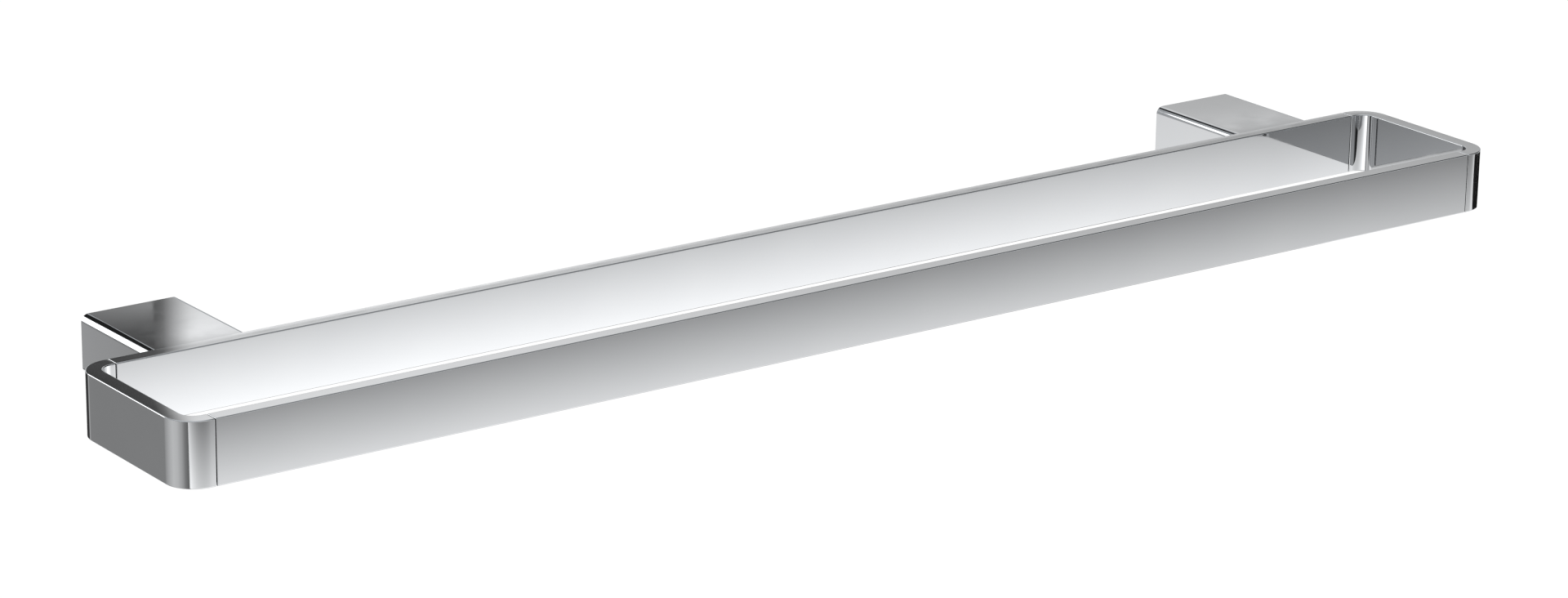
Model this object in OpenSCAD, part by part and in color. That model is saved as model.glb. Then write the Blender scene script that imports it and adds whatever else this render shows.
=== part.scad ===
// Wall-mounted towel rack: a flat rounded-rectangle frame on two short hollow arms.
// Origin: on the wall plane, midway between the arms, at the frame's mid-height.
// +X runs along the rack, +Y points into the wall, +Z is up.

/* [Frame] */
// Overall length of the frame, end to end
frame_l = 600; // [600:10:900]
// Depth of the frame, front face to rear face
frame_w = 75; // [50:1:120]
// Height of the rails and end bows
rail_h = 24.2; // [22:0.1:40]
// Thickness of the rails and end bows
rail_t = 6; // [6:0.5:8]
// Wall thickness of the tubular rails
rail_wall = 1.5; // [1.2:0.1:1.5]
// Outer radius of the frame's corners
corner_r = 11.5; // [10:0.5:20]
// Straight stub of an end bow, between its corner and the seam with the rail
stub_l = 1.7; // [0.5:0.1:4]
// Rounding of the frame's long edges
edge_r = 0.4; // [0.2:0.1:1]
// Gap at the seam between a rail and an end bow
seam_gap = 0.3; // [0.1:0.1:0.5]
// Length of the spigot on an end bow, inside the rail
spigot_l = 16; // [12:1:16]

/* [Brackets] */
// Distance between the centres of the two brackets
bracket_pitch = 500; // [160:10:500]
// Length of a bracket, wall to rear rail
arm_l = 51; // [36:1:90]
// Width of a bracket
arm_w = 40; // [38:1:60]
// Height of a bracket
arm_h = 22.6; // [22:0.1:24]
// Rounding of a bracket's long edges
arm_r = 3; // [2:0.5:5]
// Wall thickness of a bracket
arm_wall = 2.5; // [2:0.1:2.5]
// Thickness of the bracket's end wall, against the rear rail
arm_front_t = 3; // [2.5:0.1:3]

/* [Wall plates] */
// Distance between the two wall screw holes of one plate
wall_hole_pitch = 23; // [22:0.5:24]
// Diameter of a wall screw hole
wall_hole_d = 4.5; // [3.5:0.1:5]
// Thickness of a wall plate
plate_t = 4; // [3:0.5:5]
// Length of the lug, from the wall to its end
lug_l = 18; // [17:1:24]
// Width of the lug
lug_w = 8; // [6:1:9]

/* [Hardware] */
// Thread diameter of the bracket screws and set screws
big_thread_d = 4; // [3:0.5:4]
// Thread diameter of the joint screws
small_thread_d = 3; // [2:0.5:3]
// Distance between the two bracket screws of one bracket
bracket_screw_pitch = 20; // [16:1:22]
// Distance between the two joint screws of one joint
joint_screw_pitch = 12; // [8:1:14]
// Distance of a set screw from the wall
set_screw_y = 12; // [11:0.5:13]

/* [Hidden] */
$fn = 96;
left = -1;
right = 1;
eps = 0.5;          // how far a cutter runs past the surface that it cuts
play = 0.1;         // sliding clearance between nested pieces, each side
plate_play = 0.2;   // clearance between a wall plate and its bracket, each side
bolt_play = 0.2;    // clearance of a bracket screw in its through holes, each side
washer_play = 0.15; // clearance of a bracket screw in its washer, each side
thread_play = 0.03; // clearance between a thread's two nominal cylinders
cone_play = 0.05;   // clearance of a set screw's point in the lug

seam_in = corner_r + stub_l;
seam_x = frame_l / 2 - seam_in;
rail_l = 2 * (seam_x - seam_gap);
rear_y = -arm_l - rail_t / 2;
front_y = -arm_l - frame_w + rail_t / 2;

core_t = rail_t - 2 * rail_wall;
core_h = rail_h - 2 * rail_wall;
core_r = 0.5;
spigot_r = 0.4;
spigot_t = core_t - 2 * play;
spigot_h = core_h - 2 * play;

pocket_w = arm_w - 2 * arm_wall;
pocket_h = arm_h - 2 * arm_wall;
pocket_r = 1;

// A joint screw sits just past the middle of its spigot
joint_screw_x = seam_x - spigot_l / 2 - 1;
joint_tip_in = 0.3;
joint_screw_l = rail_wall + spigot_t - joint_tip_in;
joint_head_d = small_thread_d + 2.2;
joint_head_h = (joint_head_d - small_thread_d) / 2;
joint_head_in = 0.05;
joint_socket_d = 2.3;
joint_socket_h = 1;

washer_t = 0.9;
washer_d = big_thread_d + 3;
washer_split = 0.8;
cap_head_d = big_thread_d + 3;
cap_head_h = big_thread_d;
cap_socket_d = 3.5;
cap_tip_in = 0.2;
cap_screw_l = washer_t + arm_front_t + rail_wall + spigot_t - cap_tip_in;
bolt_hole_d = big_thread_d + 2 * bolt_play;
clamp_w = 32;

boss_d = 9;
boss_h = 2.5;
boss_top = -arm_h / 2 + arm_wall + boss_h;
lug_gap = 0.4;
lug_bottom = boss_top + lug_gap;
lug_top = pocket_h / 2 - lug_gap;
plate_r = 0.9;
set_screw_in = 0.4;
set_screw_bottom = -arm_h / 2 + set_screw_in;
set_socket_d = 2.3;
set_socket_h = 2;
cone_h = 1.5;
cone_d = big_thread_d - 0.4;
cone_tip_d = 0.8;
countersink_d = wall_hole_d + 4;

chrome = [0.80, 0.81, 0.83];
steel = [0.62, 0.63, 0.65];
zinc = [0.70, 0.71, 0.70];
brass = [0.78, 0.64, 0.36];

// ---- Profiles ----

// Rectangle centred on the origin with true round corners
module rounded_rect(w, h, r) {
    square([w - 2 * r, h], center = true);
    square([w, h - 2 * r], center = true);
    for (sx = [-1, 1], sy = [-1, 1])
        translate([sx * (w / 2 - r), sy * (h / 2 - r)]) circle(r);
}

// Section shared by rails and end bows, thickness along X and height along Y
module rail_section() {
    rounded_rect(rail_t, rail_h, edge_r);
}

// Runs a section (thickness, height) along X, centred, with its thickness along Y
module along_x(l) {
    rotate([90, 0, 90]) linear_extrude(l, center = true) children();
}

// Runs a section (width, height) along Y, from the plane y0 to the plane y1
module along_y(y0, y1) {
    translate([0, y1, 0]) rotate([90, 0, 0]) linear_extrude(y1 - y0) children();
}

// Cylinder along Y that starts at the plane y and runs to y + l
module y_cylinder(y, l, d) {
    y_cone(y, l, d, d);
}

// The same with a diameter at each end
module y_cone(y, l, d1, d2) {
    translate([0, y, 0]) rotate([-90, 0, 0]) cylinder(h = l, d1 = d1, d2 = d2);
}

// ---- Placing ----

// Puts one child at each end of a pair, dx to the left and right of the middle
module pair_x(dx) {
    for (s = [-1, 1]) translate([s * dx, 0, 0]) children();
}

// Puts one child at each end of an upright pair
module pair_z(dz) {
    for (s = [-1, 1]) translate([0, 0, s * dz]) children();
}

// Builds a piece for the right side and mirrors it for the left one
module on_side(side) {
    mirror([side < 0 ? 1 : 0, 0, 0]) children();
}

// Moves a bracket's piece from the middle to its own side
module at_bracket(side) {
    translate([side * bracket_pitch / 2, 0, 0]) children();
}

// Places of the two joint screws at one joint, on the rail's wall-facing side
module at_joint_screws(y) {
    translate([joint_screw_x, y + rail_t / 2, 0]) pair_z(joint_screw_pitch / 2) children();
}

// ---- Frame ----

// Cutters for a rail's countersunk screw holes, at both of its ends
module joint_holes(y) {
    for (side = [left, right]) on_side(side) at_joint_screws(y) {
        y_cylinder(-rail_wall - eps, rail_wall + 2 * eps, small_thread_d + 2 * play);
        y_cone(-joint_head_h, joint_head_h, small_thread_d, joint_head_d);
    }
}

module rail(y) {
    color(chrome) difference() {
        translate([0, y, 0]) along_x(rail_l) difference() {
            rail_section();
            rounded_rect(core_t, core_h, core_r);
        }
        joint_holes(y);
    }
}

module front_rail() {
    rail(front_y);
}

module rear_rail() {
    difference() {
        rail(rear_y);
        for (side = [left, right]) at_bracket(side) pair_x(bracket_screw_pitch / 2)
            y_cylinder(-arm_l - rail_wall - eps, rail_wall + 2 * eps, bolt_hole_d);
    }
}

// Quarter turn of the rail section about the corner's centre
module bow_corner(y, turn) {
    translate([frame_l / 2 - corner_r, y, 0]) rotate([0, 0, turn])
        rotate_extrude(angle = 90) translate([corner_r - rail_t / 2, 0]) rail_section();
}

// Stub up to the seam, and the spigot that goes on into the rail
module bow_arm(y) {
    translate([seam_x + stub_l / 2, y, 0]) along_x(stub_l) rail_section();
    difference() {
        translate([seam_x - (spigot_l - stub_l) / 2, y, 0])
            along_x(spigot_l + stub_l) rounded_rect(spigot_t, spigot_h, spigot_r);
        at_joint_screws(y) y_cylinder(-rail_t, rail_t, small_thread_d + 2 * thread_play);
    }
}

module end_bow(side) {
    color(chrome) on_side(side) {
        bow_arm(front_y);
        bow_arm(rear_y);
        bow_corner(front_y - rail_t / 2 + corner_r, -90);
        bow_corner(rear_y + rail_t / 2 - corner_r, 0);
        translate([frame_l / 2 - rail_t / 2, 0, 0])
            along_y(front_y - rail_t / 2 + corner_r, rear_y + rail_t / 2 - corner_r) rail_section();
    }
}

// ---- Joint screws ----

// Countersunk screw with its head's face on the plane y = 0, pointing to -Y
module joint_screw() {
    difference() {
        union() {
            y_cone(-joint_head_h, joint_head_h - joint_head_in,
                small_thread_d, joint_head_d - 2 * joint_head_in);
            y_cylinder(-joint_screw_l, joint_screw_l - joint_head_h, small_thread_d);
        }
        translate([0, eps, 0]) rotate([90, 0, 0])
            cylinder(h = eps + joint_socket_h, d = joint_socket_d, $fn = 6);
    }
}

module joint_screws(side, y) {
    color(steel) on_side(side) at_joint_screws(y) joint_screw();
}

// ---- Brackets ----

module bracket_section() {
    rounded_rect(arm_w, arm_h, arm_r);
}

module bracket(side) {
    color(chrome) at_bracket(side) difference() {
        union() {
            along_y(-arm_l, -arm_l + arm_front_t) bracket_section();
            along_y(-arm_l + arm_front_t, 0) difference() {
                bracket_section();
                rounded_rect(pocket_w, pocket_h, pocket_r);
            }
            translate([0, -set_screw_y, -arm_h / 2 + arm_wall / 2])
                cylinder(h = boss_h + arm_wall / 2, d = boss_d);
        }
        pair_x(bracket_screw_pitch / 2)
            y_cylinder(-arm_l - eps, arm_front_t + 2 * eps, bolt_hole_d);
        translate([0, -set_screw_y, -arm_h / 2 - eps])
            cylinder(h = arm_wall + boss_h + 2 * eps, d = big_thread_d + 2 * thread_play);
    }
}

// Tapped bar inside the rear rail
module clamp_plate(side) {
    color(brass) at_bracket(side) difference() {
        translate([0, rear_y, 0]) along_x(clamp_w) rounded_rect(spigot_t, spigot_h, spigot_r);
        pair_x(bracket_screw_pitch / 2)
            y_cylinder(rear_y - rail_t, 2 * rail_t, big_thread_d + 2 * thread_play);
    }
}

// Socket head screw pointing to -Y, with the underside of its head on the plane y = 0
module cap_screw() {
    difference() {
        union() {
            y_cylinder(0, cap_head_h, cap_head_d);
            y_cylinder(-cap_screw_l, cap_screw_l + eps, big_thread_d);
        }
        translate([0, cap_head_h + eps, 0]) rotate([90, 0, 0])
            cylinder(h = eps + cap_head_h / 2, d = cap_socket_d, $fn = 6);
    }
}

module bracket_screws(side) {
    color(steel) at_bracket(side) pair_x(bracket_screw_pitch / 2)
        translate([0, -arm_l + arm_front_t + washer_t, 0]) cap_screw();
}

// Split spring washer on the bracket's end wall
module lock_washer() {
    difference() {
        y_cylinder(0, washer_t, washer_d);
        y_cylinder(-eps, washer_t + 2 * eps, big_thread_d + 2 * washer_play);
        translate([-washer_split / 2, -eps, 0]) cube([washer_split, washer_t + 2 * eps, washer_d]);
    }
}

module lock_washers(side) {
    color(steel) at_bracket(side) pair_x(bracket_screw_pitch / 2)
        translate([0, -arm_l + arm_front_t, 0]) lock_washer();
}

// ---- Wall plates ----

// Cone point of a set screw, wide end at z = 0, pointing up
module cone_point(extra) {
    cylinder(h = cone_h, d1 = cone_d + extra, d2 = cone_tip_d + extra);
}

module wall_plate(side) {
    plate_w = pocket_w - 2 * plate_play;
    plate_h = pocket_h - 2 * plate_play;
    color(zinc) at_bracket(side) difference() {
        union() {
            along_y(-plate_t, 0) rounded_rect(plate_w, plate_h, plate_r);
            translate([-lug_w / 2, -lug_l, lug_bottom])
                cube([lug_w, lug_l - plate_t / 2, lug_top - lug_bottom]);
        }
        pair_x(wall_hole_pitch / 2) {
            y_cylinder(-plate_t - eps, plate_t + 2 * eps, wall_hole_d);
            y_cone(-plate_t, (countersink_d - wall_hole_d) / 2, countersink_d, wall_hole_d);
        }
        translate([0, -set_screw_y, lug_bottom]) cone_point(2 * cone_play);
        translate([0, -set_screw_y, lug_bottom - eps]) cylinder(h = eps, d = big_thread_d);
    }
}

// Grub screw in the bracket's floor, pressing up into the lug
module set_screw(side) {
    body_h = lug_bottom - set_screw_bottom - cone_play;
    color(steel) at_bracket(side) translate([0, -set_screw_y, set_screw_bottom]) difference() {
        union() {
            cylinder(h = body_h, d = big_thread_d);
            translate([0, 0, body_h]) cone_point(0);
        }
        translate([0, 0, -eps]) cylinder(h = eps + set_socket_h, d = set_socket_d, $fn = 6);
    }
}

front_rail();
rear_rail();
end_bow(left);  // left_end_bow
end_bow(right);  // right_end_bow
joint_screws(left, front_y);  // front_left_joint_screws
joint_screws(right, front_y);  // front_right_joint_screws
joint_screws(left, rear_y);  // rear_left_joint_screws
joint_screws(right, rear_y);  // rear_right_joint_screws
bracket(left);  // left_bracket
bracket(right);  // right_bracket
clamp_plate(left);  // left_clamp_plate
clamp_plate(right);  // right_clamp_plate
bracket_screws(left);  // left_bracket_screws
bracket_screws(right);  // right_bracket_screws
lock_washers(left);  // left_lock_washers
lock_washers(right);  // right_lock_washers
wall_plate(left);  // left_wall_plate
wall_plate(right);  // right_wall_plate
set_screw(left);  // left_set_screw
set_screw(right);  // right_set_screw
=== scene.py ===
"""Looks for a wall-mounted towel rack in polished chrome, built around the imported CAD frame.

Everything is in metres, in the CAD frame: +X along the rack, +Y into the wall, +Z up, with the
origin on the wall plane at the frame's mid-height.
"""
import math

import bmesh
import bpy
from mathutils import Matrix, Vector


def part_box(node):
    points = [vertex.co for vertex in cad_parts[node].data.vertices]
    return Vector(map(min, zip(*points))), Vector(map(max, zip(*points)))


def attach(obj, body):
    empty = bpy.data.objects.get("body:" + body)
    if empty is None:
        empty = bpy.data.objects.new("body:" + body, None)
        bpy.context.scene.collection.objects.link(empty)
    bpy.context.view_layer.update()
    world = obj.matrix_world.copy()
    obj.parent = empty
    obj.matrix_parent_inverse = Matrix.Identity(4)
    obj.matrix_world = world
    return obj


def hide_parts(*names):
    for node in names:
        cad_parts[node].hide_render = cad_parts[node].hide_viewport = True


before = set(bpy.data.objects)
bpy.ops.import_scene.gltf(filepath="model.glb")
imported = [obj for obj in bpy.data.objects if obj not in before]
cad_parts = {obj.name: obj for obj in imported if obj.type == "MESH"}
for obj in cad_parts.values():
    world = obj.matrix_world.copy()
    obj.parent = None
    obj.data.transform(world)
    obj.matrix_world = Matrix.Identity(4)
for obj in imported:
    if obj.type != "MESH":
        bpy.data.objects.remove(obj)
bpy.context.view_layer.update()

MM = 0.001
SHARP_ANGLE = math.radians(38)


# ---- Materials ----

def new_material(name):
    """Empty node material, its node tree and its output."""
    mat = bpy.data.materials.new(name)
    mat.use_nodes = True
    tree = mat.node_tree
    tree.nodes.clear()
    out = tree.nodes.new("ShaderNodeOutputMaterial")
    return mat, tree, out


def noise(tree, scale):
    """Object-space noise, the same on every piece that shares the frame."""
    coords = tree.nodes.new("ShaderNodeTexCoord")
    tex = tree.nodes.new("ShaderNodeTexNoise")
    tex.inputs["Scale"].default_value = scale
    tex.inputs["Detail"].default_value = 4.0
    tree.links.new(coords.outputs["Object"], tex.inputs["Vector"])
    return tex.outputs["Fac"]


def remap(tree, value, low, high):
    """Spreads a noise value, which seldom leaves its middle range, from low to high."""
    node = tree.nodes.new("ShaderNodeMapRange")
    node.inputs["From Min"].default_value = 0.3
    node.inputs["From Max"].default_value = 0.7
    node.inputs["To Min"].default_value = low
    node.inputs["To Max"].default_value = high
    tree.links.new(value, node.inputs["Value"])
    return node.outputs["Result"]


def metal(name, tints, rough, patch_scale, bump):
    """A metal whose tint and roughness drift between two values, with a faint surface relief.

    bump is the relief's strength, its depth in metres and the scale of its noise.
    """
    mat, tree, out = new_material(name)
    shader = tree.nodes.new("ShaderNodeBsdfPrincipled")
    shader.inputs["Metallic"].default_value = 1.0
    tree.links.new(shader.outputs["BSDF"], out.inputs["Surface"])
    ramp = tree.nodes.new("ShaderNodeValToRGB")
    for element, tint in zip(ramp.color_ramp.elements, tints):
        element.color = (*tint, 1)
    tree.links.new(noise(tree, patch_scale), ramp.inputs["Fac"])
    tree.links.new(ramp.outputs["Color"], shader.inputs["Base Color"])
    tree.links.new(remap(tree, noise(tree, patch_scale * 3), *rough), shader.inputs["Roughness"])
    strength, depth, scale = bump
    relief = tree.nodes.new("ShaderNodeBump")
    relief.inputs["Strength"].default_value = strength
    relief.inputs["Distance"].default_value = depth
    tree.links.new(noise(tree, scale), relief.inputs["Height"])
    tree.links.new(relief.outputs["Normal"], shader.inputs["Normal"])
    return mat


MATERIALS = {
    "chrome": metal("chrome", ((0.60, 0.61, 0.625), (0.64, 0.65, 0.66)),
                    (0.02, 0.06), 30, (0.015, 0.00002, 35)),
    "steel": metal("steel", ((0.42, 0.42, 0.43), (0.56, 0.56, 0.57)),
                   (0.22, 0.36), 200, (0.2, 0.00002, 4000)),
    "zinc": metal("zinc", ((0.50, 0.51, 0.52), (0.64, 0.65, 0.64)),
                  (0.32, 0.5), 120, (0.15, 0.00002, 2500)),
    "brass": metal("brass", ((0.62, 0.45, 0.20), (0.78, 0.60, 0.30)),
                   (0.25, 0.4), 150, (0.2, 0.00002, 3000)),
}


# ---- Mesh building ----

def rounded_ring(width, height, radius, steps):
    """Points of a rounded rectangle about the origin, as (across, up) pairs."""
    points = []
    for quarter, (sx, sy) in enumerate(((1, 1), (-1, 1), (-1, -1), (1, -1))):
        for k in range(steps + 1):
            angle = math.radians(90 * (quarter + k / steps))
            across = sx * (width / 2 - radius) + radius * math.cos(angle)
            up = sy * (height / 2 - radius) + radius * math.sin(angle)
            points.append((across, up))
    return points


def round_ring(radius, z, count, ripple=0.0, ripples=0):
    """Circle at height z. A ripple draws the radius in between evenly spaced ridges."""
    ring = []
    for k in range(count):
        angle = 2 * math.pi * k / count
        r = radius - ripple * abs(math.sin(ripples * angle / 2)) if ripples else radius
        ring.append(Vector((r * math.cos(angle), r * math.sin(angle), z)))
    return ring


def hex_ring(across_flats, z, count):
    """Hexagon at height z, with the same number of points as the circles that it joins."""
    ring = []
    for k in range(count):
        angle = 2 * math.pi * k / count
        r = across_flats / 2 / math.cos((angle % (math.pi / 3)) - math.pi / 6)
        ring.append(Vector((r * math.cos(angle), r * math.sin(angle), z)))
    return ring


def thread_rings(radius, pitch, z_start, z_end, count):
    """Rings of a screw thread between two heights: a ridge that climbs one pitch each turn."""
    depth = 0.54 * pitch
    crest = 1.15    # above 1, it flattens the ridge's top
    rows = max(2, int(abs(z_end - z_start) / pitch * 8))
    rings = []
    for row in range(rows + 1):
        z = z_start + (z_end - z_start) * row / rows
        fade = min(1, 4 * row / rows, 4 * (rows - row) / rows)
        ring = []
        for k in range(count):
            angle = 2 * math.pi * k / count
            phase = (z / pitch - angle / (2 * math.pi)) % 1
            r = radius - depth * (1 - min(1, crest * abs(2 * phase - 1))) * fade
            ring.append(Vector((r * math.cos(angle), r * math.sin(angle), z)))
        rings.append(ring)
    return rings


def loft(rings, closed=False):
    """Skin through rings of equal length, capped at both ends unless it closes on itself."""
    bm = bmesh.new()
    rows = [[bm.verts.new(point) for point in ring] for ring in rings]
    pairs = list(zip(rows, rows[1:]))
    if closed:
        pairs.append((rows[-1], rows[0]))
    else:
        bm.faces.new(rows[0][::-1])
        bm.faces.new(rows[-1])
    for a, b in pairs:
        for k in range(len(a)):
            j = (k + 1) % len(a)
            bm.faces.new((a[k], a[j], b[j], b[k]))
    bmesh.ops.recalc_face_normals(bm, faces=bm.faces)
    return bm


def to_object(name, *solids):
    """One object from one or more bmesh solids that don't touch each other."""
    whole = bmesh.new()
    for bm in solids:
        part = bpy.data.meshes.new("part")
        bm.to_mesh(part)
        bm.free()
        whole.from_mesh(part)
        bpy.data.meshes.remove(part)
    mesh = bpy.data.meshes.new(name)
    whole.to_mesh(mesh)
    whole.free()
    obj = bpy.data.objects.new(name, mesh)
    bpy.context.scene.collection.objects.link(obj)
    return obj


def moved(bm, place, direction=None):
    """Moves a solid built along +Z to a place, pointing it along a direction."""
    if direction is not None:
        turn = Vector(direction).to_track_quat("Z", "Y").to_matrix()
        bmesh.ops.transform(bm, matrix=turn.to_4x4(), verts=bm.verts)
    bmesh.ops.translate(bm, vec=Vector(place), verts=bm.verts)
    return bm


def combine(obj, operation, *solids):
    """Cuts solids out of a piece, or joins them to it."""
    tool = to_object("tool", *solids)
    modifier = obj.modifiers.new("combine", "BOOLEAN")
    modifier.operation = operation
    modifier.solver = "EXACT"
    modifier.object = tool
    bpy.context.view_layer.update()
    evaluated = obj.evaluated_get(bpy.context.evaluated_depsgraph_get())
    result = bpy.data.meshes.new_from_object(evaluated)
    obj.modifiers.clear()
    old = obj.data
    obj.data = result
    obj.data.name = obj.name
    bpy.data.meshes.remove(old)
    bpy.data.objects.remove(tool)


def finish_piece(obj, node, slot):
    """Shades a piece smooth with flat faces kept flat, and lets it stand for its CAD node."""
    obj.data.shade_smooth()
    obj.data.set_sharp_from_angle(angle=SHARP_ANGLE)
    normals = obj.modifiers.new("normals", "WEIGHTED_NORMAL")
    normals.keep_sharp = True
    obj.data.materials.clear()
    obj.data.materials.append(MATERIALS[slot])
    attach(obj, "root")
    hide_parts(node)


def drill(obj, y_start, y_end, radius_start, radius_end, x, z):
    """Cuts a hole along Y between two planes, with a radius at each."""
    bm = loft([round_ring(radius_start, y_start, 48), round_ring(radius_end, y_end, 48)])
    combine(obj, "DIFFERENCE", moved(bm, (x, 0, z), (0, 1, 0)))


# ---- Sizes that the CAD boxes don't give ----

SIDES = (("left", -1), ("right", 1))

EDGE_R = 0.4 * MM        # long edges of the rails and end bows
CORNER_R = 11.5 * MM     # outer radius of the frame's corners
RAIL_WALL = 1.5 * MM
CORE_R = 0.5 * MM        # edges of a rail's inside
SPIGOT_T = 2.8 * MM
SPIGOT_H = 21.0 * MM
SPIGOT_R = 0.4 * MM
SPIGOT_LEAD = 0.5 * MM   # tapered length at a spigot's tip
SEAM_GAP = 0.3 * MM
SEAM_ROUND = 0.3 * MM
BEND_STEPS = 40

ARM_R = 3.0 * MM
ARM_WALL = 2.5 * MM
ARM_FRONT = 3.0 * MM
ARM_END_R = 0.15 * MM
POCKET_R = 1.0 * MM
BOSS_R = 4.5 * MM
BOSS_H = 2.5 * MM
BOSS_ROOT = 1.0 * MM     # how far above the bracket's underside the boss starts
BOSS_TAPER = 0.2 * MM

PLATE_T = 4.0 * MM
PLATE_R = 0.9 * MM
LUG_W = 8.0 * MM
LUG_R = 0.5 * MM
LUG_GAP = 0.2 * MM       # how far the lug ends below the plate's top
LUG_OVER_SCREW = 5.05 * MM
WALL_HOLE_X = 11.5 * MM
WALL_HOLE_R = 2.25 * MM
COUNTERSINK_R = 4.35 * MM
DIMPLE_R = 1.9 * MM      # hollow under the lug, for the set screw's point
DIMPLE_TIP_R = 0.4 * MM
DIMPLE_DEPTH = 1.6 * MM

BIG_R = 2.0 * MM         # thread of the bracket screws and set screws
BIG_PITCH = 0.7 * MM
SMALL_R = 1.5 * MM       # thread of the joint screws
SMALL_PITCH = 0.5 * MM
THREAD_PLAY = 0.03 * MM
TAPPED_R = BIG_R + THREAD_PLAY
BOLT_HOLE_R = 2.2 * MM
JOINT_HOLE_R = 1.6 * MM
JOINT_HEAD_H = 1.1 * MM
JOINT_HEAD_R = 2.55 * MM
CAP_HEAD_R = 3.5 * MM
CAP_HEAD_H = 4.0 * MM
SMALL_SOCKET = 2.0 * MM  # across flats
BIG_SOCKET = 3.0 * MM
CHAMFER = 0.3 * MM       # at plate edges and at the mouths of pockets and tapped holes
CHAMFER_R = 2.6 * MM
WASHER_IN_R = 2.15 * MM
WASHER_OUT_R = 3.5 * MM
CUT = 1.0 * MM           # how far a cutter runs past the surface that it cuts
CONE_CUT = 0.1 * MM      # the same for a cone, and where another cut meets it


def joint_screw_places(node):
    """Centres of the two countersunk heads of one joint."""
    lo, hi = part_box(node)
    return [((lo.x + hi.x) / 2, z) for z in (lo.z + JOINT_HEAD_R, hi.z - JOINT_HEAD_R)]


def bracket_screw_places(side):
    """Centres of the two screws that hold one bracket."""
    lo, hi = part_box(f"{side}_bracket_screws")
    return [(x, (lo.z + hi.z) / 2) for x in (lo.x + CAP_HEAD_R, hi.x - CAP_HEAD_R)]


def end_rounding(radius, steps=4):
    """(distance from the end face, inset of the section) along a small quarter round."""
    angles = [math.radians(90 * k / steps) for k in range(steps + 1)]
    return [(radius * (1 - math.cos(a)), radius * (1 - math.sin(a))) for a in angles]


# ---- Rails ----

def rail(which):
    lo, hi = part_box(f"{which}_rail")
    middle = (lo + hi) / 2
    thick, tall = hi.y - lo.y, hi.z - lo.z

    def ring(x, width, height, radius):
        points = rounded_ring(width, height, radius, 6)
        return [Vector((x, middle.y + a, middle.z + b)) for a, b in points]

    def outer(x, inset):
        return ring(x, thick - 2 * inset, tall - 2 * inset, EDGE_R - inset)

    def inner(x):
        return ring(x, thick - 2 * RAIL_WALL, tall - 2 * RAIL_WALL, CORE_R)

    edge = end_rounding(SEAM_ROUND)
    rings = [outer(lo.x + run, inset) for run, inset in edge]
    rings += [outer(hi.x - run, inset) for run, inset in reversed(edge)]
    rings += [inner(hi.x), inner(lo.x)]
    obj = to_object(f"{which}_rail_tube", loft(rings, closed=True))
    inside_y = hi.y - 2 * RAIL_WALL
    head_y = hi.y - JOINT_HEAD_H
    head_r = SMALL_R + JOINT_HEAD_H + CONE_CUT
    for side, _ in SIDES:
        for x, z in joint_screw_places(f"{which}_{side}_joint_screws"):
            drill(obj, inside_y, head_y + CONE_CUT, JOINT_HOLE_R, JOINT_HOLE_R, x, z)
            drill(obj, head_y, hi.y + CONE_CUT, SMALL_R, head_r, x, z)
        if which == "rear":
            for x, z in bracket_screw_places(side):
                drill(obj, inside_y, hi.y + CUT, BOLT_HOLE_R, BOLT_HOLE_R, x, z)
    finish_piece(obj, f"{which}_rail", "chrome")


# ---- End bows ----

def end_bow(side, sign):
    lo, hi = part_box(f"{side}_end_bow")
    rail_lo, rail_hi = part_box("front_rail")
    thick, tall = rail_hi.y - rail_lo.y, hi.z - lo.z
    tip_x = min(abs(lo.x), abs(hi.x))
    end_x = max(abs(lo.x), abs(hi.x))
    seam_x = rail_hi.x + SEAM_GAP
    bend_r = CORNER_R - thick / 2
    turn_x = end_x - CORNER_R
    front_y, rear_y = lo.y + thick / 2, hi.y - thick / 2

    def ring(place, outward, width, height, radius):
        """Section at a place of the bow's centre line, with its outer side towards outward."""
        points = rounded_ring(width, height, radius, 6)
        (x, y), (out_x, out_y) = place, outward
        return [Vector((sign * (x + out_x * a), y + out_y * a, b)) for a, b in points]

    def full(place, outward, inset=0.0):
        return ring(place, outward, thick - 2 * inset, tall - 2 * inset, EDGE_R - inset)

    def spigot(x, y, outward, inset=0.0):
        width, height = SPIGOT_T - 2 * inset, SPIGOT_H - 2 * inset
        return ring((x, y), outward, width, height, SPIGOT_R - inset / 2)

    def arm(y, outward):
        """Rings from the spigot's tip to the end of the straight stub."""
        rings = [spigot(tip_x, y, outward, SPIGOT_R), spigot(tip_x + SPIGOT_LEAD, y, outward)]
        rings.append(spigot(seam_x, y, outward))
        rings += [full((seam_x + run, y), outward, inset) for run, inset in end_rounding(SEAM_ROUND)]
        return rings

    def bend(y, start):
        """Rings round one corner."""
        rings = []
        for k in range(BEND_STEPS + 1):
            angle = math.radians(start + 90 * k / BEND_STEPS)
            outward = (math.cos(angle), math.sin(angle))
            rings.append(full((turn_x + bend_r * outward[0], y + bend_r * outward[1]), outward))
        return rings

    rings = arm(front_y, (0, -1)) + bend(front_y + bend_r, -90)
    rings += bend(rear_y - bend_r, 0) + arm(rear_y, (0, 1))[::-1]
    obj = to_object(f"{side}_end_bow_casting", loft(rings))
    hole_r = SMALL_R + THREAD_PLAY
    for which, y in (("front", front_y), ("rear", rear_y)):
        for x, z in joint_screw_places(f"{which}_{side}_joint_screws"):
            drill(obj, y - thick / 2, y + thick / 2, hole_r, hole_r, x, z)
    finish_piece(obj, f"{side}_end_bow", "chrome")


# ---- Brackets and clamp plates ----

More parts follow.
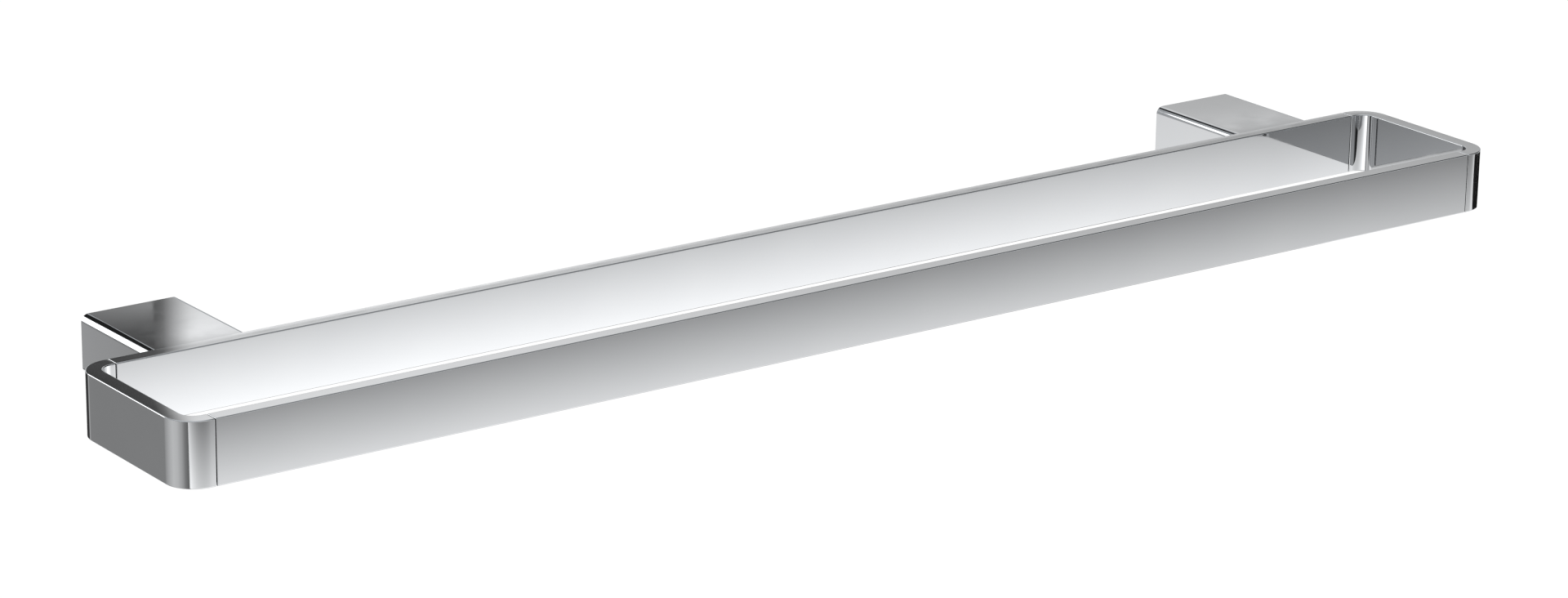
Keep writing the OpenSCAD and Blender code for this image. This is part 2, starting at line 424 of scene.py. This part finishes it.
def bracket(side):
    lo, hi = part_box(f"{side}_bracket")
    screw_lo, screw_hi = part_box(f"{side}_set_screw")
    middle = (lo + hi) / 2
    wide, tall = hi.x - lo.x, hi.z - lo.z
    screw_x, screw_y = (screw_lo.x + screw_hi.x) / 2, (screw_lo.y + screw_hi.y) / 2

    def ring(y, width, height, radius):
        points = rounded_ring(width, height, radius, 14)
        return [Vector((middle.x + a, y, middle.z + b)) for a, b in points]

    def outer(y, inset):
        return ring(y, wide - 2 * inset, tall - 2 * inset, ARM_R - inset)

    def pocket(y, spread=0.0):
        wall = ARM_WALL - spread
        return ring(y, wide - 2 * wall, tall - 2 * wall, POCKET_R + spread)

    edge = end_rounding(ARM_END_R)
    rings = [pocket(lo.y + ARM_FRONT), pocket(hi.y - CHAMFER), pocket(hi.y, CHAMFER)]
    rings += [outer(hi.y - run, inset) for run, inset in edge]
    rings += [outer(lo.y + run, inset) for run, inset in reversed(edge)]
    obj = to_object(f"{side}_bracket_casting", loft(rings))

    def upright(z_start, z_end, radius_start, radius_end):
        """Solid along Z on the set screw's axis."""
        rings = [round_ring(radius_start, z_start, 48), round_ring(radius_end, z_end, 48)]
        return moved(loft(rings), (screw_x, screw_y, 0))

    boss_top = lo.z + ARM_WALL + BOSS_H
    combine(obj, "UNION", upright(lo.z + BOSS_ROOT, boss_top, BOSS_R, BOSS_R - BOSS_TAPER))
    combine(obj, "DIFFERENCE", upright(lo.z - CUT, boss_top + CUT, TAPPED_R, TAPPED_R))
    combine(obj, "DIFFERENCE", upright(lo.z - CHAMFER, lo.z + CHAMFER, CHAMFER_R, BIG_R))
    for x, z in bracket_screw_places(side):
        drill(obj, lo.y - CUT, lo.y + ARM_FRONT + CUT, BOLT_HOLE_R, BOLT_HOLE_R, x, z)
    finish_piece(obj, f"{side}_bracket", "chrome")


def clamp_plate(side):
    lo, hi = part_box(f"{side}_clamp_plate")
    middle = (lo + hi) / 2
    thick, tall = hi.y - lo.y, hi.z - lo.z

    def ring(x, inset):
        points = rounded_ring(thick - 2 * inset, tall - 2 * inset, SPIGOT_R - inset / 2, 4)
        return [Vector((x, middle.y + a, middle.z + b)) for a, b in points]

    edge = end_rounding(CHAMFER)
    rings = [ring(lo.x + run, inset) for run, inset in edge]
    rings += [ring(hi.x - run, inset) for run, inset in reversed(edge)]
    obj = to_object(f"{side}_clamp_bar", loft(rings))
    for x, z in bracket_screw_places(side):
        drill(obj, lo.y - CUT, hi.y + CUT, TAPPED_R, TAPPED_R, x, z)
        drill(obj, lo.y - CHAMFER, lo.y + CHAMFER, CHAMFER_R, TAPPED_R, x, z)
        drill(obj, hi.y - CHAMFER, hi.y + CHAMFER, TAPPED_R, CHAMFER_R, x, z)
    finish_piece(obj, f"{side}_clamp_plate", "brass")


# ---- Wall plates ----

def wall_plate(side):
    lo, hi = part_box(f"{side}_wall_plate")
    screw_lo, screw_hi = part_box(f"{side}_set_screw")
    middle = (lo + hi) / 2
    wide, tall = hi.x - lo.x, hi.z - lo.z
    front_y = hi.y - PLATE_T
    lug_low, lug_high = screw_lo.z + LUG_OVER_SCREW, hi.z - LUG_GAP
    lug_z, lug_tall = (lug_low + lug_high) / 2, lug_high - lug_low

    def ring(y, width, height, radius, z=0.0):
        points = rounded_ring(width, height, radius, 6)
        return [Vector((middle.x + a, y, z + b)) for a, b in points]

    def plate_ring(y, inset):
        return ring(y, wide - 2 * inset, tall - 2 * inset, PLATE_R)

    def lug_ring(y, inset=0.0):
        return ring(y, LUG_W - 2 * inset, lug_tall - 2 * inset, LUG_R, lug_z)

    edge = end_rounding(CHAMFER)
    rings = [plate_ring(hi.y - run, inset) for run, inset in edge]
    rings += [plate_ring(front_y + run, inset) for run, inset in reversed(edge)]
    obj = to_object(f"{side}_wall_plate_casting", loft(rings))
    lug = [lug_ring(hi.y - PLATE_T / 2)]
    lug += [lug_ring(lo.y + run, inset) for run, inset in reversed(end_rounding(LUG_R))]
    combine(obj, "UNION", loft(lug))
    for x in (middle.x - WALL_HOLE_X, middle.x + WALL_HOLE_X):
        drill(obj, front_y - CUT, hi.y + CUT, WALL_HOLE_R, WALL_HOLE_R, x, 0)
        drill(obj, front_y - CONE_CUT, front_y + PLATE_T / 2, COUNTERSINK_R, WALL_HOLE_R, x, 0)
    screw_y = (screw_lo.y + screw_hi.y) / 2
    dimple = [round_ring(DIMPLE_R, lug_low - CONE_CUT, 32)]
    dimple.append(round_ring(DIMPLE_TIP_R, lug_low + DIMPLE_DEPTH, 32))
    combine(obj, "DIFFERENCE", moved(loft(dimple), (middle.x, screw_y, 0)))
    finish_piece(obj, f"{side}_wall_plate", "zinc")


# ---- Screws and washers ----

def cap_screw(length, head_height):
    """Knurled socket head screw along Z, with the underside of its head at z = 0."""
    n = 96
    ripple, ripples = 0.12 * MM, 24
    floor_z = head_height / 2
    rings = [round_ring(1.3 * MM, -length, n)]
    rings += thread_rings(BIG_R, BIG_PITCH, 0.5 * MM - length, -1.2 * MM, n)
    rings.append(round_ring(BIG_R, -0.2 * MM, n))
    rings.append(round_ring(BIG_R + 0.2 * MM, 0, n))
    rings.append(round_ring(CAP_HEAD_R - 0.1 * MM, 0, n))
    rings.append(round_ring(CAP_HEAD_R, 0.2 * MM, n, ripple, ripples))
    rings.append(round_ring(CAP_HEAD_R, head_height - 0.5 * MM, n, ripple, ripples))
    rings.append(round_ring(CAP_HEAD_R - 0.15 * MM, head_height - 0.2 * MM, n))
    rings.append(round_ring(CAP_HEAD_R - 0.5 * MM, head_height, n))
    rings.append(round_ring(1.9 * MM, head_height, n))
    rings.append(hex_ring(BIG_SOCKET, head_height - 0.15 * MM, n))
    rings.append(hex_ring(BIG_SOCKET, floor_z, n))
    rings.append(round_ring(0.3 * MM, floor_z - 0.5 * MM, n))
    return loft(rings)


def bracket_screws(side):
    lo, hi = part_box(f"{side}_bracket_screws")
    head_y = hi.y - CAP_HEAD_H
    screws = []
    for x, z in bracket_screw_places(side):
        screws.append(moved(cap_screw(head_y - lo.y, hi.y - head_y), (x, head_y, z), (0, 1, 0)))
    obj = to_object(f"{side}_bracket_socket_screws", *screws)
    finish_piece(obj, f"{side}_bracket_screws", "steel")


def joint_screw(length):
    """Countersunk socket screw along Z, with the face of its head at z = 0."""
    n = 48
    rings = [round_ring(0.9 * MM, -length, n)]
    rings += thread_rings(SMALL_R, SMALL_PITCH, 0.4 * MM - length, -1.25 * MM, n)
    rings.append(round_ring(SMALL_R, -1.05 * MM, n))
    rings.append(round_ring(JOINT_HEAD_R, -0.08 * MM, n))
    rings.append(round_ring(JOINT_HEAD_R - 0.08 * MM, 0, n))
    rings.append(round_ring(1.25 * MM, 0, n))
    rings.append(hex_ring(SMALL_SOCKET, -0.12 * MM, n))
    rings.append(hex_ring(SMALL_SOCKET, -0.85 * MM, n))
    rings.append(round_ring(0.2 * MM, -1.1 * MM, n))
    return loft(rings)


def joint_screws(which, side):
    node = f"{which}_{side}_joint_screws"
    lo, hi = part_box(node)
    screws = []
    for x, z in joint_screw_places(node):
        screws.append(moved(joint_screw(hi.y - lo.y), (x, hi.y, z), (0, 1, 0)))
    finish_piece(to_object(f"{which}_{side}_countersunk_screws", *screws), node, "steel")


def set_screw(side):
    """Cone-point grub screw along Z, with its socket at the bottom."""
    lo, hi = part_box(f"{side}_set_screw")
    n = 48
    tall = hi.z - lo.z
    rings = [round_ring(0.3 * MM, 2.4 * MM, n)]
    rings.append(hex_ring(SMALL_SOCKET, 2.0 * MM, n))
    rings.append(hex_ring(SMALL_SOCKET, 0.15 * MM, n))
    rings.append(round_ring(1.25 * MM, 0, n))
    rings.append(round_ring(1.75 * MM, 0, n))
    rings += thread_rings(BIG_R, BIG_PITCH, 0.25 * MM, tall - 1.6 * MM, n)
    rings.append(round_ring(1.75 * MM, tall - 1.45 * MM, n))
    rings.append(round_ring(0.5 * MM, tall - 0.1 * MM, n))
    rings.append(round_ring(0.2 * MM, tall, n))
    solid = moved(loft(rings), ((lo.x + hi.x) / 2, (lo.y + hi.y) / 2, lo.z))
    finish_piece(to_object(f"{side}_grub_screw", solid), f"{side}_set_screw", "steel")


def lock_washers(side):
    """Split spring washers: a bevelled bar bent almost full circle, its ends a little out of line."""
    lo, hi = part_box(f"{side}_lock_washers")
    bar_r, climb = 0.12 * MM, 0.12 * MM
    bar_t = hi.y - lo.y - 0.14 * MM    # leaves room for the climb
    steps = 64
    first, sweep = 97, 346    # degrees
    washers = []
    for x, z in bracket_screw_places(side):
        rings = []
        for k in range(steps + 1):
            angle = math.radians(first + sweep * k / steps)
            y = (lo.y + hi.y) / 2 + (k / steps - 0.5) * climb
            ring = []
            for a, b in rounded_ring(WASHER_OUT_R - WASHER_IN_R, bar_t, bar_r, 2):
                r = (WASHER_IN_R + WASHER_OUT_R) / 2 + a
                ring.append(Vector((x + r * math.cos(angle), y + b, z + r * math.sin(angle))))
            rings.append(ring)
        washers.append(loft(rings))
    obj = to_object(f"{side}_spring_washers", *washers)
    finish_piece(obj, f"{side}_lock_washers", "steel")


def build_pieces():
    for which in ("front", "rear"):
        rail(which)
        for side, _ in SIDES:
            joint_screws(which, side)
    for side, sign in SIDES:
        end_bow(side, sign)
        bracket(side)
        clamp_plate(side)
        wall_plate(side)
        bracket_screws(side)
        lock_washers(side)
        set_screw(side)


# ---- Camera ----

# The camera stands in front of the rack's left end, above it, and looks along the rack.
CAMERA_TARGET = Vector((-0.0305, -0.0959, 0.0))
CAMERA_DISTANCE = 1.758
CAMERA_YAW = math.radians(36.26)
CAMERA_PITCH = math.radians(17.85)
CAMERA_ROLL = math.radians(0.79)
CAMERA_LENS = 109.4


def add_camera():
    data = bpy.data.cameras.new("camera")
    data.sensor_width = 36.0
    data.lens = CAMERA_LENS
    cam = bpy.data.objects.new("camera", data)
    bpy.context.scene.collection.objects.link(cam)
    forward = Vector((math.sin(CAMERA_YAW) * math.cos(CAMERA_PITCH),
                      math.cos(CAMERA_YAW) * math.cos(CAMERA_PITCH),
                      -math.sin(CAMERA_PITCH)))
    turn = forward.to_track_quat("-Z", "Y").to_matrix().to_4x4()
    roll = Matrix.Rotation(CAMERA_ROLL, 4, "Z")
    cam.matrix_world = Matrix.Translation(CAMERA_TARGET - forward * CAMERA_DISTANCE) @ turn @ roll
    bpy.context.scene.camera = cam


# ---- Studio ----

FLOOR_Z = -0.6
SECOND_BOUNCE = 0.46    # how bright a card stays in a reflection of a reflection
WHITE_LIGHT = 1.4
ROOM_LIGHT = 0.5
CEILING_LIGHT = 0.45
ROOM_SHADOW = 0.5
ROOM_TINT = (0.97, 1.0, 1.03, 1)


def plane(name, origin, edge_u, edge_v):
    """Rectangle from a corner and two edges, with UVs that run along both edges."""
    origin, edge_u, edge_v = Vector(origin), Vector(edge_u), Vector(edge_v)
    mesh = bpy.data.meshes.new(name)
    corners = [origin, origin + edge_u, origin + edge_u + edge_v, origin + edge_v]
    mesh.from_pydata([tuple(c) for c in corners], [], [(0, 1, 2, 3)])
    uv = mesh.uv_layers.new(name="UVMap")
    for loop, place in zip(uv.data, ((0, 0), (1, 0), (1, 1), (0, 1))):
        loop.uv = place
    obj = bpy.data.objects.new(name, mesh)
    bpy.context.scene.collection.objects.link(obj)
    return obj


def math_node(tree, operation, a, b):
    """Math node on two inputs, each a socket or a number."""
    node = tree.nodes.new("ShaderNodeMath")
    node.operation = operation
    for socket, value in zip(node.inputs, (a, b)):
        if isinstance(value, (int, float)):
            socket.default_value = value
        else:
            tree.links.new(value, socket)
    return node.outputs[0]


def profile(tree, place, stops):
    """Brightness between stops of (place, brightness), with place from 0 to 1."""
    peak = max(level for _, level in stops)
    ramp = tree.nodes.new("ShaderNodeValToRGB")
    elements = ramp.color_ramp.elements
    while len(elements) < len(stops):
        elements.new(0.5)
    for element, (at, level) in zip(elements, stops):
        element.position = at
        element.color = (level / peak, level / peak, level / peak, 1)
    tree.links.new(place, ramp.inputs["Fac"])
    return math_node(tree, "MULTIPLY", ramp.outputs["Color"], peak)


def even(level):
    """The same brightness all along an edge."""
    return [(0.0, level), (1.0, level)]


def card(name, origin, edge_u, edge_v, along_u, along_v=even(1.0), second=even(SECOND_BOUNCE)):
    """Studio card seen only in reflections: its brightness is one profile times the other.

    The frame's inner faces mirror each other, and a reflection of a reflection shows the card
    dimmer, by the profile called second, which runs along edge_v.
    """
    obj = plane(name, origin, edge_u, edge_v)
    obj.visible_camera = False
    obj.visible_diffuse = False
    obj.visible_shadow = False
    mat, tree, out = new_material(name)
    split = tree.nodes.new("ShaderNodeSeparateXYZ")
    coords = tree.nodes.new("ShaderNodeTexCoord")
    tree.links.new(coords.outputs["UV"], split.inputs["Vector"])
    path = tree.nodes.new("ShaderNodeLightPath")
    repeated = math_node(tree, "GREATER_THAN", path.outputs["Glossy Depth"], 1.5)
    dimming = math_node(tree, "POWER", profile(tree, split.outputs["Y"], second), repeated)
    level = math_node(tree, "MULTIPLY", profile(tree, split.outputs["X"], along_u),
                      profile(tree, split.outputs["Y"], along_v))
    glow = tree.nodes.new("ShaderNodeEmission")
    tree.links.new(math_node(tree, "MULTIPLY", level, dimming), glow.inputs["Strength"])
    tree.links.new(glow.outputs["Emission"], out.inputs["Surface"])
    obj.data.materials.append(mat)


def lobe(tree, towards, width):
    """1 in one direction of the surroundings, falling smoothly to 0 at width radians from it."""
    coords = tree.nodes.new("ShaderNodeTexCoord")
    dot = tree.nodes.new("ShaderNodeVectorMath")
    dot.operation = "DOT_PRODUCT"
    dot.inputs[1].default_value = Vector(towards).normalized()
    tree.links.new(coords.outputs["Generated"], dot.inputs[0])
    fall = tree.nodes.new("ShaderNodeMapRange")
    fall.interpolation_type = "SMOOTHSTEP"
    fall.inputs["From Min"].default_value = math.cos(width)
    tree.links.new(dot.outputs["Value"], fall.inputs["Value"])
    return fall.outputs["Result"]


def add_world():
    """Even white light on the floor and behind the object, and a soft grey room in the reflections."""
    world = bpy.data.worlds.new("studio")
    bpy.context.scene.world = world
    world.use_nodes = True
    tree = world.node_tree
    tree.nodes.clear()
    out = tree.nodes.new("ShaderNodeOutputWorld")
    mix = tree.nodes.new("ShaderNodeMixShader")
    path = tree.nodes.new("ShaderNodeLightPath")
    white = tree.nodes.new("ShaderNodeBackground")
    white.inputs["Strength"].default_value = WHITE_LIGHT
    room = tree.nodes.new("ShaderNodeBackground")
    room.inputs["Color"].default_value = ROOM_TINT
    ceiling = math_node(tree, "MULTIPLY", lobe(tree, (0, 0, 1), 0.9), CEILING_LIGHT)
    shadow = math_node(tree, "MULTIPLY", lobe(tree, (0.75, -0.1, 0.66), 0.85), ROOM_SHADOW)
    lit = math_node(tree, "ADD", ceiling, ROOM_LIGHT)
    level = math_node(tree, "SUBTRACT", lit, shadow)
    tree.links.new(level, room.inputs["Strength"])
    tree.links.new(path.outputs["Is Glossy Ray"], mix.inputs["Fac"])
    tree.links.new(white.outputs["Background"], mix.inputs[1])
    tree.links.new(room.outputs["Background"], mix.inputs[2])
    tree.links.new(mix.outputs["Shader"], out.inputs["Surface"])


def add_floor():
    """Pale floor, seen only from above, so that a low camera still sees the rack."""
    floor = plane("floor", (-20, -20, FLOOR_Z), (40, 0, 0), (0, 40, 0))
    mat, tree, out = new_material("floor")
    pale = tree.nodes.new("ShaderNodeBsdfDiffuse")
    pale.inputs["Color"].default_value = (0.92, 0.92, 0.92, 1)
    mix = tree.nodes.new("ShaderNodeMixShader")
    side = tree.nodes.new("ShaderNodeNewGeometry")
    clear = tree.nodes.new("ShaderNodeBsdfTransparent")
    tree.links.new(side.outputs["Backfacing"], mix.inputs["Fac"])
    tree.links.new(pale.outputs["BSDF"], mix.inputs[1])
    tree.links.new(clear.outputs["BSDF"], mix.inputs[2])
    tree.links.new(mix.outputs["Shader"], out.inputs["Surface"])
    floor.data.materials.append(mat)


def add_cards_in_front():
    low = FLOOR_Z + 0.01
    # Below eye level: dark at its top edge, white towards the floor, dimmer to the right.
    card("front_card", (-0.478, -0.300, -0.034), (0, 0, low + 0.034), (1.059, 0, 0),
         [(0.0, 0.0), (0.14, 1.65), (0.16, 1.75), (1.0, 1.75)],
         [(0.0, 1.0), (0.42, 1.0), (0.57, 0.95), (0.79, 0.85), (0.89, 0.74), (1.0, 0.78)],
         [(0.0, 0.46), (0.565, 0.46), (0.60, 0.25), (0.63, 0.03), (0.69, 0.03), (0.72, 0.3),
          (1.0, 0.46)])
    # Farther off, at the rack's own height: only a level view from the front sees it.
    card("level_card", (-0.9, -1.3, -0.06), (1.8, 0, 0), (0, 0, 0.36),
         [(0.0, 0.3), (0.3, 0.75), (0.45, 1.0), (0.62, 0.6), (0.8, 0.4), (1.0, 0.3)])


def add_cards_beside():
    low = FLOOR_Z + 0.01
    # On the left: a soft pool of light beside the rack, brighter again behind it.
    card("left_card", (-0.60, -0.39, low), (0, 1.5, 0), (0, 0, -low - 0.02),
         [(0.0, 0.16), (0.07, 0.28), (0.11, 0.47), (0.18, 0.70), (0.24, 0.75), (0.35, 0.55),
          (0.52, 0.31), (0.60, 0.30), (0.66, 0.42), (0.78, 0.58), (0.84, 0.5), (0.90, 0.1)],
         second=even(0.08))
    # Its dark end, for the thin line down the left bow's far edge.
    card("left_end", (-0.60, 1.11, low), (0.14, 0, 0), (0, 0, -low - 0.02), even(0.06))
    # Soft box behind on the left, leaning back: the white line along the left bracket.
    card("left_box", (-0.62, 0.165, -0.16), (0, 0.48, 0), (0, 0.565, 0.96), even(2.4))
    # Black strip low down on the far right, for the band down the front right corner.
    card("right_strip", (2.1, -1.10, low - 0.008), (0, 1.9, 0), (0, 0, 0.104),
         [(0.0, 0.15), (0.04, 0.015), (1.0, 0.01)])


def add_cards_behind():
    # Close behind the rack: a dark line between two light bands.
    card("back_card", (-0.33, 0.16, -0.02), (0, 0, -0.4), (0.63, 0, 0),
         [(0.0, 0.9), (0.12, 1.05), (0.15, 0.7), (0.18, 0.3), (0.195, 0.4), (0.20, 1.2),
          (0.25, 1.2), (0.28, 0.9), (1.0, 1.1)],
         second=even(1.0))
    # Large card, fading away from its left edge: lights the top faces.
    card("far_card", (0.568, 1.5, 0.53), (1.9, 0, 0), (0, 0, 0.88),
         [(0.0, 0.12), (0.004, 0.2), (0.017, 1.0), (0.10, 1.0), (0.18, 0.94), (0.30, 0.81),
          (0.42, 0.71), (0.54, 0.64), (0.65, 0.61), (0.70, 0.56), (1.0, 0.54)],
         [(0.0, 0.90), (0.042, 0.95), (0.068, 1.2), (0.0755, 1.2), (0.0775, 0.66), (0.0845, 0.68),
          (0.09, 0.85), (0.14, 1.0), (1.0, 1.0)])
    # Narrow dark card beside it: the top faces on the left fall into its shade.
    card("shade_card", (0.48, 1.5, 0.53), (0.088, 0, 0), (0, 0, 0.17),
         [(0.0, 0.6), (0.4, 0.7), (1.0, 1.0)],
         [(0.17, 0.37), (0.22, 0.27), (0.26, 0.18), (0.31, 0.12), (0.35, 0.08), (0.41, 0.12),
          (0.5, 0.09), (1.0, 0.09)])
    # Small black flags: the left bow's far edge, and the brackets' long edges.
    card("left_streak", (-0.335, 0.155, -0.055), (0.155, 0, 0), (0, 0, -0.045), even(0.05))
    card("left_flag", (-0.30, 0.10, 0.068), (0.08, 0, 0), (0, 0, 0.08), even(0.02))
    card("high_flag", (-0.20, 1.5, 1.36), (0.65, 0, 0), (0, 0, 0.16), even(0.02))


def add_card_below():
    card("under_card", (-0.42, -0.28, -0.25), (0.84, 0, 0), (0, 0.42, 0),
         [(0.0, 0.3), (0.3, 0.9), (0.6, 0.6), (1.0, 0.25)])


build_pieces()
add_camera()
add_world()
add_floor()
add_cards_in_front()
add_cards_beside()
add_cards_behind()
add_card_below()
bpy.context.scene.view_settings.view_transform = "Standard"
